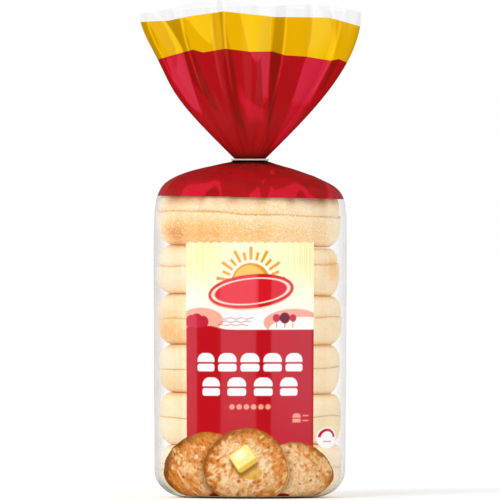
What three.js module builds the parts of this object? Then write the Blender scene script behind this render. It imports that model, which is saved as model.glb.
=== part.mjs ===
// A shut bag of six split English muffins. The muffins lie flat in one upright stack. The bag is a
// clear film tube with a round foot, a conical shoulder and a neck that a flat plastic tag pinches.
// Above the tag the film opens again into a flat, pleated fan with a narrow mouth.
// Millimetres, +Z up, the printed front faces -Y, and the origin is the centre of the foot.
import * as THREE from "three";

// The film round the stack.
const FRONT_RADIUS = 48;
const SIDE_RADIUS = 49.5;
const EDGE_RIDGE = 1.3; // the film is creased at -X and +X, where the flat tube was folded
const EDGE_SPREAD = 0.16;
const FOOT_TAPER = 0.022; // the stack is a little slimmer at its foot
const FOOT_CORNER = 14.5;
const FOOT_SPREAD = 16; // the foot corner is wider than it is high

// The shoulder is a shallow cone, blended into the wall.
const SHOULDER_TOP = 174.9;
const SHOULDER_SLOPE = 0.275;
const SHOULDER_LEAN = 0.05; // steeper on the right, flatter on the left
const SHOULDER_BLEND = 4.1;
const BLEND_LEAN = 0.9; // the corner is fuller on the right
const SKIRT_RADIUS = 9.5;
const GATHER_DEPTH = 0.15; // depth of a gather in the shoulder, as a share of the fold in the fan

// The tag is a flat plate with a keyhole, and the neck runs through the round end of the hole.
const TAG_Z = 175.9;
const TAG_THICKNESS = 0.7;
const TAG_HALF_WIDTH = 9.7;
const TAG_FRONT = -12.5;
const TAG_BACK = 8.5;
const TAG_CORNER = 2.4;
const TAG_HOLE = 4.2;
const TAG_SLOT = 1.5;
const TAG_ENTRY = 3.2;
const TAG_ENTRY_DEPTH = 2.2;
const NECK_RADIUS = 3.8;
const TAG_GAP = 0.2;

// The fan of loose film above the tag.
const FAN_FOOT = TAG_Z + TAG_THICKNESS / 2 + TAG_GAP;
const FAN_FOOT_WIDTH = 8;
const FAN_WIDTH = 58.3;
const FAN_RISE = 78;
const FAN_FOOT_DEPTH = 5;
const FAN_DEPTH = 8.5;
const LEFT_DENT = 3.3; // the left outline is a little flatter than the right one
const LEFT_DENT_AT = 52;
const LEFT_DENT_SPREAD = 16;
const MOUTH_DEPTH = 0.55; // share of the fan's height that the mouth reaches down
const LIP = 1.3; // thickness of the film edge as modelled
const SLIT = 0.6; // half width of the mouth at its bottom

// Height of the lip along the front and the back, from the left edge (-1) to the right edge (1).
const FRONT_LIP = [
  [-1, 251.9], [-0.84, 253.1], [-0.66, 255.5], [-0.49, 257.9], [-0.27, 259.1], [-0.2, 259],
  [0.06, 256.3], [0.24, 256.1], [0.54, 256.8], [0.76, 255.8], [1, 252.7],
];
const BACK_LIP = [[-1, 251.9], [-0.45, 255.2], [0.05, 256.4], [0.5, 254.6], [1, 252.7]];

// Pleats of the fan at its lip: place along the width, and how far the film stands out there.
const FRONT_FOLDS = [
  [-1, 0], [-0.97, 0.3], [-0.935, 2.3], [-0.85, 1.7], [-0.78, 1], [-0.72, 0.3], [-0.625, 2.8],
  [-0.45, 0.6], [-0.38, -0.4], [-0.36, -0.8], [-0.345, -0.2], [-0.33, -1], [-0.305, -1.9],
  [-0.233, 2.7], [-0.09, 1.2], [0, 0.7], [0.08, 0.3], [0.19, -3.1], [0.325, 2.1], [0.54, 0.9],
  [0.68, -0.5], [0.765, -1.9], [0.81, 1.3], [0.86, 0.8], [0.93, 1.2], [0.97, 0.9], [1, 0],
];
const BACK_FOLDS = [
  [-1, 0], [-0.9, 1.2], [-0.78, -2], [-0.6, 2.6], [-0.42, -2.6], [-0.33, 2.4], [-0.1, 0.5],
  [-0.02, -2.8], [0.08, 2.8], [0.3, -1], [0.38, 1.8], [0.56, -2.4], [0.68, 2.4], [0.86, -1.2], [1, 0],
];

// Print, by height on the film.
const CROWN_FOOT = 156;
const CROWN_TOP = 0.69; // share of the fan's height where red ends and yellow starts
const BAND_TOP = 0.93; // share of the fan's height where yellow ends and clear film starts
const PANEL_HALF_TURN = 42.5 / 360;
const PANEL_FOOT = 28.3;
const PANEL_SPLIT = 87.6;
const PANEL_TOP = 133.2;

const WIDEST_STEP = 1 / 60; // widest gap between two points of a ring, as a share of a turn

const COLOURS = {
  clear: new THREE.Color(0xf1ddb8),
  edge: new THREE.Color(0xf4f4f2),
  red: new THREE.Color(0xb4161b),
  yellow: new THREE.Color(0xf0b60c),
  cream: new THREE.Color(0xfdf8cf),
  tag: new THREE.Color(0xd9cfc2),
};

// Height or depth at x on a line through hand-placed points.
function along(points, x) {
  const next = Math.max(1, points.findIndex(([at]) => at >= x));
  const [x0, y0] = points[next - 1];
  const [x1, y1] = points[next];
  return y0 + ((y1 - y0) * (x - x0)) / (x1 - x0);
}

function smooth(from, to, x) {
  return THREE.MathUtils.smoothstep(x, from, to);
}

// Share of a turn, from the left edge by way of the front, of a place along the width.
function turnAt(place, isBack) {
  const turn = Math.acos(-place) / (2 * Math.PI);
  return isBack ? (1 - turn) % 1 : turn;
}

// The points of every ring, as shares of a turn: all fold lines and panel edges, filled up evenly.
function ringTurns() {
  const fixed = [
    ...FRONT_FOLDS.map(([place]) => turnAt(place, false)),
    ...BACK_FOLDS.map(([place]) => turnAt(place, true)),
    0.25 - PANEL_HALF_TURN,
    0.25 + PANEL_HALF_TURN,
  ];
  const sorted = [...new Set(fixed.map((turn) => Number(turn.toFixed(4))))].sort((a, b) => a - b);
  const apart = sorted.filter((turn, i) => i === 0 || turn - sorted[i - 1] > WIDEST_STEP / 8);
  return apart.flatMap((turn, i) => {
    const gap = (apart[i + 1] ?? 1) - turn;
    const parts = Math.max(1, Math.ceil(gap / WIDEST_STEP - 0.25));
    return Array.from({ length: parts }, (_, k) => turn + (gap * k) / parts);
  });
}

// Where a turn lies: its place along the width, its place in depth, and its fold.
function aim(turn) {
  const place = -Math.cos(2 * Math.PI * turn);
  const depth = -Math.sin(2 * Math.PI * turn);
  const isBack = turn > 0.5;
  return { place, depth, isBack, fold: along(isBack ? BACK_FOLDS : FRONT_FOLDS, THREE.MathUtils.clamp(place, -1, 1)) };
}

// Radius of a wall that stands at full, rounded at the foot and drawn in at the shoulder.
function wallRadius(full, z, place) {
  const below = FOOT_CORNER - THREE.MathUtils.clamp(z, 0, FOOT_CORNER);
  const tapered = full * (1 - FOOT_TAPER * (1 - Math.min(1, z / SHOULDER_TOP)));
  const wall = tapered - FOOT_SPREAD * (1 - Math.sqrt(1 - (below / FOOT_CORNER) ** 2));
  const cone = SKIRT_RADIUS + (SHOULDER_TOP - z) / (SHOULDER_SLOPE + SHOULDER_LEAN * place);
  const blend = SHOULDER_BLEND + BLEND_LEAN * place;
  return (wall ** -blend + cone ** -blend) ** (-1 / blend);
}

// Radius of the level section through the wall, in a direction.
function sectionRadius(place, depth) {
  const ridge = EDGE_RIDGE * Math.exp(-((depth / EDGE_SPREAD) ** 2));
  return FRONT_RADIUS + (SIDE_RADIUS - FRONT_RADIUS) * place ** 2 + ridge;
}

function bodyPoint(turn, z) {
  const { place, depth, fold } = aim(turn);
  const full = sectionRadius(place, depth);
  const radius = wallRadius(full, z, place);
  const slope = (wallRadius(full, z + 0.1, place) - wallRadius(full, z - 0.1, place)) / 0.2;
  const steep = Math.hypot(1, slope);
  const onShoulder = smooth(PANEL_TOP, CROWN_FOOT, z) * (1 - smooth(30, 46, radius));
  const gather = GATHER_DEPTH * fold * onShoulder * smooth(SKIRT_RADIUS + 1, 20, radius);
  const out = radius + gather / steep;
  return [out * place, out * depth, z - (gather * slope) / steep];
}

// Half width of the fan at a height above its foot, on one side.
function fanWidth(height, place) {
  const full = FAN_FOOT_WIDTH + (FAN_WIDTH - FAN_FOOT_WIDTH) * Math.sin((Math.PI / 2) * Math.min(1, height / FAN_RISE));
  const dent = LEFT_DENT * Math.exp(-(((height - LEFT_DENT_AT) / LEFT_DENT_SPREAD) ** 2));
  return full - dent * smooth(0, 1, -place);
}

function fanPoint(turn, share) {
  const { place, depth, isBack, fold } = aim(turn);
  const lip = along(isBack ? BACK_LIP : FRONT_LIP, THREE.MathUtils.clamp(place, -1, 1));
  const z = FAN_FOOT + (lip - FAN_FOOT) * share;
  const halfDepth = FAN_FOOT_DEPTH + (FAN_DEPTH - FAN_FOOT_DEPTH) * Math.sin((Math.PI / 2) * share);
  const out = fold * share ** 0.65 * (isBack ? 1 : -1);
  return [place * fanWidth(z - FAN_FOOT, place), depth * halfDepth + out, z];
}

// The inner face of the mouth: the fan's outer face less the lip, closing to a slit at the bottom.
function mouthPoint(turn, share) {
  const { place, depth } = aim(turn);
  const [x, y, z] = fanPoint(turn, 1 - MOUTH_DEPTH * share);
  const width = fanWidth(z - FAN_FOOT, place);
  const inner = y - LIP * THREE.MathUtils.clamp(depth / 0.25, -1, 1);
  const closed = share ** 1.4;
  return [x * (1 - (LIP / width) * place ** 10), inner * (1 - closed) + SLIT * depth * closed, z];
}

// Heights of the rings of the wall, close together at the rounded foot and on the shoulder.
function wallHeights() {
  const corner = [0, 1.1, 4, 8.5, FOOT_CORNER];
  const wall = [PANEL_FOOT, 48, 68, PANEL_SPLIT, 110, PANEL_TOP, 142];
  const shoulder = [147, 152, CROWN_FOOT, 159.5, 162.5, 165.2, 167.6, 169.8, 171.8, 173.5, SHOULDER_TOP];
  return [...corner, ...wall, ...shoulder];
}

// All rings of the bag from the foot up the outside, over the lip and down into the mouth. Each
// ring carries the colour of the film above it; clear film may carry the front panel.
function bagRings(turns) {
  const ring = (colour, z, point) => ({ colour, z, points: turns.map(point) });
  const neck = (z) => ring(COLOURS.red, z, (turn) => {
    const { place, depth } = aim(turn);
    return [NECK_RADIUS * place, NECK_RADIUS * depth, z];
  });
  const wall = wallHeights().map((z) => {
    return ring(z < CROWN_FOOT ? COLOURS.clear : COLOURS.red, z, (turn) => bodyPoint(turn, z));
  });
  const fan = [0, 0.05, 0.12, 0.2, 0.3, 0.4, 0.5, 0.6, CROWN_TOP, 0.82, BAND_TOP, 1].map((share) => {
    const band = share < BAND_TOP ? COLOURS.yellow : COLOURS.edge;
    return ring(share < CROWN_TOP ? COLOURS.red : band, FAN_FOOT, (turn) => fanPoint(turn, share));
  });
  const mouth = [0.2, 0.45, 0.72, 1].map((share) => {
    return ring(COLOURS.edge, FAN_FOOT, (turn) => mouthPoint(turn, share));
  });
  mouth.unshift(ring(COLOURS.edge, FAN_FOOT, (turn) => mouthPoint(turn, 0)));
  const below = neck(TAG_Z - TAG_THICKNESS / 2 - TAG_GAP);
  const above = neck(TAG_Z + TAG_THICKNESS / 2 + TAG_GAP);
  return [...wall, below, above, ...fan, ...mouth];
}

// Colour of the film at a turn, just above a ring.
function printColour(ring, turn) {
  const onPanel = Math.abs(turn - 0.25) < PANEL_HALF_TURN && ring.z >= PANEL_FOOT && ring.z < PANEL_TOP;
  if (ring.colour !== COLOURS.clear || !onPanel) return ring.colour;
  return ring.z < PANEL_SPLIT ? COLOURS.red : COLOURS.cream;
}

// One closed skin over the rings, with a point at the middle of the first and the last one.
function bagGeometry() {
  const turns = ringTurns();
  const rings = bagRings(turns);
  const slit = rings.at(-1);
  const foot = [0, 0, 0];
  const bottom = [0, 0, slit.points.reduce((sum, point) => sum + point[2], 0) / turns.length];
  const positions = [];
  const colours = [];
  const face = (a, b, c, colour) => {
    positions.push(...a, ...b, ...c);
    for (let corner = 0; corner < 3; corner++) colours.push(colour.r, colour.g, colour.b);
  };
  for (let i = 0; i < turns.length; i++) {
    const j = (i + 1) % turns.length;
    const turn = (turns[i] + (turns[i + 1] ?? 1)) / 2;
    face(foot, rings[0].points[j], rings[0].points[i], COLOURS.clear);
    for (let row = 0; row + 1 < rings.length; row++) {
      const [low, high] = [rings[row].points, rings[row + 1].points];
      const colour = printColour(rings[row], turn);
      face(low[i], low[j], high[j], colour);
      face(low[i], high[j], high[i], colour);
    }
    face(bottom, slit.points[i], slit.points[j], COLOURS.edge);
  }
  const geometry = new THREE.BufferGeometry();
  geometry.setAttribute("position", new THREE.Float32BufferAttribute(positions, 3));
  geometry.setAttribute("color", new THREE.Float32BufferAttribute(colours, 3));
  geometry.computeVertexNormals();
  return geometry;
}

function makeBag() {
  const film = new THREE.MeshStandardMaterial({ vertexColors: true, roughness: 0.28, metalness: 0 });
  const bag = new THREE.Mesh(bagGeometry(), film);
  bag.name = "bag";
  return bag;
}

// The tag's outline: a rounded plate whose keyhole opens at the back edge.
function tagShape() {
  const [w, f, b, r] = [TAG_HALF_WIDTH, TAG_FRONT, TAG_BACK, TAG_CORNER];
  const slotAngle = Math.asin(TAG_SLOT / TAG_HOLE);
  const slotFoot = Math.cos(slotAngle) * TAG_HOLE;
  const shape = new THREE.Shape();
  shape.moveTo(TAG_ENTRY, b);
  shape.lineTo(TAG_SLOT, b - TAG_ENTRY_DEPTH);
  shape.lineTo(TAG_SLOT, slotFoot);
  shape.absarc(0, 0, TAG_HOLE, Math.PI / 2 - slotAngle, Math.PI / 2 + slotAngle, true);
  shape.lineTo(-TAG_SLOT, b - TAG_ENTRY_DEPTH);
  shape.lineTo(-TAG_ENTRY, b);
  shape.lineTo(-w + r, b);
  shape.absarc(-w + r, b - r, r, Math.PI / 2, Math.PI, false);
  shape.absarc(-w + r, f + r, r, Math.PI, 1.5 * Math.PI, false);
  shape.absarc(w - r, f + r, r, 1.5 * Math.PI, 2 * Math.PI, false);
  shape.absarc(w - r, b - r, r, 0, Math.PI / 2, false);
  shape.closePath();
  return shape;
}

function makeTag() {
  const plate = new THREE.ExtrudeGeometry(tagShape(), { depth: TAG_THICKNESS, bevelEnabled: false, curveSegments: 9 });
  const plastic = new THREE.MeshStandardMaterial({ color: COLOURS.tag, roughness: 0.4, metalness: 0 });
  const tag = new THREE.Mesh(plate, plastic);
  tag.name = "tag";
  tag.position.z = TAG_Z - TAG_THICKNESS / 2;
  return tag;
}

const pack = new THREE.Group();
pack.add(makeBag(), makeTag());

export default pack;
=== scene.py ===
"""A shut clear bag of six split English muffins: film, print, muffins and bread tag, under soft light.

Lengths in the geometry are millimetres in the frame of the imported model, with the foot on z = 0 and
the printed front facing -Y. They become metres when a mesh is made.
"""

import math

import bpy
import numpy as np
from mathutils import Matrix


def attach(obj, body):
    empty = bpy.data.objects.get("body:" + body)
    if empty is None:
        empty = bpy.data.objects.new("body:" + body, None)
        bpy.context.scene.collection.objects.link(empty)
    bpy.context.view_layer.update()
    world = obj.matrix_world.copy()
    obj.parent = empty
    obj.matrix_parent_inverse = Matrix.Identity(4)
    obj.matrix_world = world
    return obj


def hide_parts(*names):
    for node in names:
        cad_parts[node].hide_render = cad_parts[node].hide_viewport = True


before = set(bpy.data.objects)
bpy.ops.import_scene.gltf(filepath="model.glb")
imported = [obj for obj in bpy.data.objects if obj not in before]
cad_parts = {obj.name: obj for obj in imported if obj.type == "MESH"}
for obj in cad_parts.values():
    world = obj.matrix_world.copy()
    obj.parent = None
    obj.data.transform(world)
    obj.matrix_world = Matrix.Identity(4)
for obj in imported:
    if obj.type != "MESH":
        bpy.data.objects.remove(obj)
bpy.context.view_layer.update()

MM = 0.001
TAU = 2 * math.pi

# The film round the stack, as in the part's source.
FRONT_RADIUS = 48
SIDE_RADIUS = 49.5
EDGE_RIDGE = 1.3
EDGE_SPREAD = 0.16
FOOT_TAPER = 0.022
FOOT_CORNER = 14.5
FOOT_SPREAD = 16
FILM_FLOOR = 0.05  # the film comes no lower than this
SLOPE_STEP = 0.1  # half the rise over which the slope of the wall is read

# The shoulder and the neck.
SHOULDER_TOP = 174.9
SHOULDER_SLOPE = 0.275
SHOULDER_LEAN = 0.05
SHOULDER_BLEND = 4.1
BLEND_LEAN = 0.9
SKIRT_RADIUS = 9.5
GATHER_DEPTH = 0.15
TAG_Z = 175.9
TAG_THICKNESS = 0.7
TAG_GAP = 0.08
NECK_RADIUS = 3.7

# The fan above the tag.
FAN_FOOT = TAG_Z + TAG_THICKNESS / 2 + TAG_GAP
FAN_FOOT_WIDTH = 8
FAN_WIDTH = 58.3
FAN_RISE = 78
FAN_FOOT_DEPTH = 5
FAN_DEPTH = 8.5
LEFT_DENT = 3.3
LEFT_DENT_AT = 52
LEFT_DENT_SPREAD = 16
FINE_PLEAT = 0.12
SLACK = 0.5  # how far the film between the pleats wanders

# How far the film stands out in ripples on the front wall, at its sides and at its foot, and in
# crumples and creases on the shoulder.
WALL_RIPPLE = 0.06
SIDE_RIPPLE = 0.4
FOOT_RIPPLE = 0.25
CRUMPLE_DEPTH = 1.0
CREASE_DEPTH = 0.2

# Height of the film's lip and of the two print edges, from the fan's left edge (-1) to its right (1).
FRONT_LIP = [
    (-1, 251.9), (-0.84, 253.1), (-0.66, 255.5), (-0.49, 257.9), (-0.27, 259.1), (-0.2, 259),
    (0.06, 256.3), (0.24, 256.1), (0.54, 256.8), (0.76, 255.8), (1, 252.7),
]
BACK_LIP = [(-1, 251.9), (-0.45, 255.2), (0.05, 256.4), (0.5, 254.6), (1, 252.7)]
YELLOW_EDGE = [
    (-1, 247.7), (-0.74, 248.3), (-0.53, 250.7), (-0.24, 253.1), (0.23, 250.2), (0.71, 249.9), (1, 245.4),
]
RED_EDGE = [
    (-1, 228.1), (-0.57, 233.2), (-0.47, 231.7), (-0.24, 233.7), (0, 232.1), (0.22, 232.3),
    (0.35, 230.2), (0.56, 229.6), (0.82, 227.5), (0.9, 228.4), (1, 226.5),
]
YELLOW_BACK = [(-1, 247.7), (-0.4, 249.5), (0.1, 250.6), (0.6, 248.2), (1, 245.4)]
RED_BACK = [(-1, 228.1), (-0.4, 230.8), (0.2, 231.6), (0.6, 229.2), (1, 226.5)]

# Pleats at the lip: place along the width, and how far the film stands out there.
FRONT_FOLDS = [
    (-1, 0), (-0.97, 0.3), (-0.935, 2.3), (-0.85, 1.7), (-0.78, 1.0), (-0.72, 0.3), (-0.625, 2.8),
    (-0.45, 0.6), (-0.38, -0.4), (-0.36, -0.8), (-0.345, -0.2), (-0.33, -1.0), (-0.305, -1.9),
    (-0.233, 2.7), (-0.09, 1.2), (0, 0.7), (0.08, 0.3), (0.19, -3.1), (0.325, 2.1), (0.54, 0.9),
    (0.68, -0.5), (0.765, -1.9), (0.81, 1.3), (0.86, 0.8), (0.93, 1.2), (0.97, 0.9), (1, 0),
]
BACK_FOLDS = [
    (-1, 0), (-0.9, 1.2), (-0.78, -2), (-0.6, 2.6), (-0.42, -2.6), (-0.33, 2.4), (-0.1, 0.5),
    (-0.02, -2.8), (0.08, 2.8), (0.3, -1), (0.38, 1.8), (0.56, -2.4), (0.68, 2.4), (0.86, -1.2), (1, 0),
]

# Print on the body: its edges, and how far each layer of it stands off the one below.
CROWN_FOOT = 156.15
CROWN_FOOT_SLOPE = -0.0177
PANEL_HALF = 36.2
PANEL_FOOT = 1.4
PANEL_SPLIT = 87.6
PANEL_TOP = 133.2
PRINT_LIFT = 0.08
INK_SOFT = 0.35  # width of the soft edge of a printed shape
SUN_RAYS = 13
HOLES = 16  # in the crumb of a toasted round
BADGE_AT = (46.8, 31.3)

# Columns of points round the wall, and over the front and the back of the printed film. Rows of
# points up the shoulder, and up each band of the fan.
COLUMNS = 420
FRONT_COLUMNS = 340
BACK_COLUMNS = 200
SHOULDER_ROWS = 46
FAN_ROWS = (80, 30, 9)

# The bands of the printed film, in the order of its materials, and the colours of its two inks from
# the deepest painted shade (0) to the lightest painted highlight (1).
RED, YELLOW, BARE = range(3)
RED_STOPS = [(0, "#2A0506"), (0.3, "#89130E"), (0.5, "#A81115"), (0.8, "#C21529"), (1, "#CA2C44")]
YELLOW_STOPS = [(0, "#7A5502"), (0.3, "#B98700"), (0.5, "#DCA600"), (0.8, "#E8B60A"), (1, "#EBBE14")]

# Ridges that catch a thin line of light on the fan: place along the width, and how bright.
RIDGE_LINES = [(-0.935, 0.9), (-0.62, 1.0), (-0.34, 0.7), (-0.233, 0.8), (0.325, 1.0), (0.815, 0.6)]
RIDGE_WIDTH = 0.55

# Patches of the printed front painted lighter or darker than the rest: painted highlights where the
# film faces the light, painted shade in the pleats. Each patch is a list of rows, and a row gives a
# height, the patch's left edge and its right edge. A patch fades over a short rise at its ends, and a
# red highlight over a longer one at its lower end.
PATCH_FADE = 2.5
HIGHLIGHT_FADE = 9
RED_PAINTED_HIGHLIGHTS = [
    [
        (199.7, -25.6, -25), (200.8, -27.6, -25), (203.9, -31, -26.3), (207, -33.4, -27.4),
        (212.3, -36.8, -29.2), (217.5, -39.9, -30.5), (231.6, -44.9, -34.7),
    ],
    [(226.1, 3.1, 3.7), (227.9, 2, 5.2), (230, 0.8, 6.3), (233.1, -0.4, 6.8)],
    [(206.5, 7.3, 8.3), (208.1, 6.7, 9.3), (228.9, 5.6, 10.6), (233.1, 4.7, 10.7)],
    [(206.3, 21.9, 31.6), (227.4, 28.5, 42.8), (230.5, 29.4, 43.8)],
]
RED_PAINTED_SHADE = [
    [
        (201.8, -18.8, -16.4), (207, -21.9, -19.3), (212.3, -26.6, -21.4), (217.5, -30.5, -23.5),
        (227.9, -33.4, -27.6), (233.1, -34.7, -29.7),
    ],
    [
        (178.4, -2.6, 0), (186.2, -3.4, -0.3), (196.6, -7.3, -3.7), (207, -10.2, -6.3),
        (217.5, -12.3, -7), (234.7, -14.6, -10.2),
    ],
    [(183.6, 8.3, 9.4), (194, 8.9, 10.4), (212.3, 10.2, 14.3), (232.1, 10.7, 17.7)],
    [(223.7, -39.2, -38.3), (226.9, -40.3, -38.1), (231.6, -42.8, -37.6)],
    [(212.3, 36, 38.1), (217.5, 39.1, 41.2), (222.7, 41.2, 44.1), (227.9, 43, 46.4)],
]
RED_SOFT_PAINTED_HIGHLIGHTS = [
    [
        (182, 11.5, 13.6), (186.2, 13.3, 17.7), (191.4, 15.9, 20.9), (196.6, 18.3, 25),
        (201.8, 20.6, 28.2), (207, 22.2, 31.8),
    ],
    [(196.6, -0.5, 6.8), (201.8, -2.6, 7.3), (207, -5, -1.6), (212.3, -6, -4.2)],
]
YELLOW_PAINTED_HIGHLIGHTS = [
    [(230, -38.3, -34.2), (234.2, -38.9, -35.5), (243.6, -43.3, -41.2), (249.3, -46.7, -45.1)],
    [
        (236.2, -21.1, -19.8), (238.3, -23.5, -19.7), (241.5, -26.6, -19.6), (244.6, -29.2, -19.8),
        (247.7, -31.3, -20.6), (249.8, -34.4, -20.9), (252.9, -37.6, -21.1),
    ],
    [(231, -0.5, 10.4), (243.6, -3.1, 11), (252.9, -5.5, 11.7)],
    [
        (227.4, 29.5, 43.3), (233.1, 30.3, 44.3), (238.3, 31.6, 44.9), (243.6, 32.3, 44.6),
        (251.4, 32.6, 44.6),
    ],
]
YELLOW_PAINTED_SHADE = [
    [(226.9, -48, -44.5), (238.3, -52.7, -48.5), (248.8, -57.6, -53.5)],
    [(231, -34.7, -30.3), (238.3, -37.6, -32.1), (249.8, -45.1, -37)],
    [(233.1, -14.3, -10.3), (240.9, -14.9, -12), (246.2, -15.4, -12.5), (254, -16.4, -14.1)],
    [(228.9, 10.7, 17.7), (243.6, 12.5, 19), (251.4, 12.8, 19.6)],
    [(241.5, 43.3, 43.8), (244.6, 42.5, 44.3), (250.3, 40.9, 44.6)],
]
# Painted highlights and painted shade on the front of the shoulder, in rows as above.
SHOULDER_PAINTED_LIGHT = [
    [
        (155.7, -36.3, -14.6), (160.1, -34.7, -14.8), (161.7, -33.4, -15), (162.7, -31.3, -15.2),
        (163.7, -21.9, -15.6), (164.9, -18.8, -16.4),
    ],
    [(155.2, -1.5, 5.8), (157.5, -0.6, 5.6), (160.4, 2.8, 5.0), (161.4, 3.8, 4.5)],
    [
        (154.9, 8.9, 35.5), (158, 9.6, 31), (160.1, 13.8, 29.5), (161.7, 18.8, 27.6), (162.7, 20.3, 26.1),
        (163.6, 22.4, 24.5),
    ],
    [(158, 9.6, 14.6), (160.1, 10.3, 12.5), (161.7, 10.4, 11.1)],
    [(154.9, 39.6, 43.8), (158, 40.9, 43.2), (161.7, 39.6, 41.5), (163.2, 39.1, 40.2)],
    [(167.8, 10.8, 12), (169, 10.4, 13), (170, 10.4, 12.5), (170.8, 11, 11.6)],
    [(163.2, 6, 6.8), (164.3, 6.3, 7.6), (165.3, 7, 7.7)],
]
SHOULDER_PAINTED_SHADE = [
    [(155.7, -24.3, -15.5), (158.5, -22.7, -15.9), (160.1, -21.1, -16.5), (161.8, -18.8, -17.5)],
    [(154.9, 23.7, 29.2), (157, 24, 28.7), (158.5, 24.7, 27.9), (159.7, 25.6, 26.9)],
]
# Facets of the bare film at the lip that are hazy grey: partly milky film, partly painted shade.
EDGE_PAINTED_SHADE_FACETS = [
    [(248, -54.2, -48), (253, -57.1, -51.1)],
    [(248.2, -45.4, -38.1), (254.5, -49.3, -41.2)],
    [(252.9, -16.7, -14.6), (259.2, -17, -15.1)],
    [(250, 13.3, 19.3), (257, 14.1, 19.3)],
    [(250, 29.5, 32.1), (257, 29.2, 31.8)],
    [(248.7, 39.1, 43.3), (256.6, 35.5, 40.7)],
    [(245, 49, 57.5), (255, 50.1, 58)],
]

# The muffins from the top down: heights of the upper seam, the split and the lower seam, each at the
# left and the right side, then the shift to the right and the half widths of the two halves.
MUFFINS = [
    ((159.0, 158.4), (148.9, 146.0), (131.4, 130.5), -0.7, 47.3, 48.1),
    ((131.2, 129.2), (120.1, 121.0), (106.2, 104.6), -1.1, 46.6, 47.7),
    ((106.0, 104.4), (93.2, 94.0), (79.6, 79.3), -0.5, 47.7, 48.3),
    ((79.4, 79.1), (66.2, 68.0), (54.6, 53.5), -0.4, 47.3, 47.4),
    ((54.4, 53.3), (41.8, 42.0), (27.4, 27.6), 0.1, 47.5, 47.6),
    ((27.2, 27.4), (14.8, 16.4), (0.9, 0.9), 0.5, 47.1, 47.0),
]

# Points over the side of a half, over each of its faces and round it.
SIDE_POINTS = 34
FACE_POINTS = 9
ROUND_POINTS = 168

SKIN_SQUASH = 0.972  # depth of a muffin, as a share of its width
SPLIT_NOTCH = 0.22  # how far the side draws in at the split
SPLIT_PRESS = 0.1  # how far a half is pressed into its other half
SEAM_PRESS = 0.35  # how far a half is pressed into the next muffin
BREAD_CLEARANCE = 0.5  # from the bread to the film

# Where a half is browned on its side: height, angle round the stack from +X, reach along and up,
# and how strongly.
BROWNED = [
    (137, -2.6, 0.25, 6, 0.5), (139, -2.15, 0.5, 8, 0.4), (138, -1.4, 0.7, 7, 0.35),
    (87, -2.75, 0.35, 7, 0.6), (61, -2.65, 0.3, 5, 0.2), (120, -0.35, 0.2, 7, 0.4),
    (32, 0.9, 0.6, 9, 0.45), (112, 2.0, 0.6, 8, 0.45), (72, 1.2, 0.5, 8, 0.45), (140, 1.5, 0.5, 7, 0.45),
]
CRUST_STOPS = [(0.0, "#FAE6C8"), (0.3, "#F7D9AA"), (0.58, "#F6C176"), (0.82, "#F0A94C"), (1.0, "#DC8F38")]

# The studio, in metres: camera, floor and lights. A soft box has an azimuth, which is 0 in front and
# grows to the right, half its width as an angle from the pack, the height of its top and its light.
CAMERA_DISTANCE = 6.0
CAMERA_HEIGHT = 0.1288
FRAME_HEIGHT = 0.2608
SENSOR = 36.0
FLOOR_SIZE = 40
FLOOR_DROP = 0.0002
BOX_DISTANCE = 1.6
BOX_FOOT = -0.02
SOFT_BOXES = {
    "box_front": (-14, 21, 1.4, 1.0),
    "box_right": (52.5, 27.5, 1.4, 1.1),
    "box_left": (-78, 12, 1.4, 1.0),
    "box_back_left": (-140, 35, 0.7, 0.6),
    "box_back_right": (140, 35, 0.7, 0.6),
}
KEY_LIGHT = 0.9
KEY_ANGLE = 25  # how wide the key light looks, in degrees
KEY_TILT = (52, 0, -32)

# The noise: the size of its table, a shift away from the pack's origin, and axes that turn its grid
# away from the pack's own.
NOISE_TABLE = 32
NOISE_SHIFT = 1000
NOISE_AXES = np.array([[0.8, 0.6, 0], [-0.48, 0.64, 0.6], [0.36, -0.48, 0.8]])


def lattice_noise(points, size, seed):
    """Smooth noise from 0 to 1 at points, with features about size across."""
    table = np.random.default_rng(seed).random((NOISE_TABLE,) * 3)
    at = np.asarray(points, float) @ NOISE_AXES / size + NOISE_SHIFT
    cell = np.floor(at).astype(int)
    share = at - cell
    share = share * share * (3 - 2 * share)
    total = 0.0
    for corner in np.ndindex(2, 2, 2):
        near = np.abs(1 - np.array(corner) - share)
        x, y, z = np.moveaxis((cell + corner) % NOISE_TABLE, -1, 0)
        total = total + near[..., 0] * near[..., 1] * near[..., 2] * table[x, y, z]
    return total


def layered_noise(points, size, seed, layers=2):
    """Noise from 0 to 1 with finer and fainter layers on top."""
    total, weight, share = 0.0, 0.0, 1.0
    for layer in range(layers):
        total = total + share * lattice_noise(points, size / 2**layer, seed + layer)
        weight += share
        share *= 0.5
    return total / weight


def along(points, x):
    """Height or depth at x on a line through given points."""
    return np.interp(x, *np.transpose(points))


def smooth(low, high, x):
    """A soft step: 0 up to low, 1 from high on."""
    share = np.clip((x - low) / (high - low), 0, 1)
    return share * share * (3 - 2 * share)


# The film


def soften(values, reach):
    """The values round a ring, averaged with their neighbours."""
    steps = np.arange(-3 * reach, 3 * reach + 1)
    weights = np.exp(-((steps / reach) ** 2))
    return sum(weight * np.roll(values, step) for step, weight in zip(steps, weights)) / weights.sum()


class Ring:
    """The columns of the film: a share of a turn each, from the left edge by way of the front."""

    def __init__(self, turn, closed=True):
        self.turn = np.asarray(turn, float)
        self.place = -np.cos(TAU * self.turn)
        self.depth = -np.sin(TAU * self.turn)
        self.back = self.turn > 0.5
        self.fold = self.choose(FRONT_FOLDS, BACK_FOLDS)
        if closed:
            self.fold = soften(self.fold, 1)

    def choose(self, front, back):
        """Reads one line of given points over the front columns and another over the back."""
        return np.where(self.back, along(back, self.place), along(front, self.place))


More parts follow.
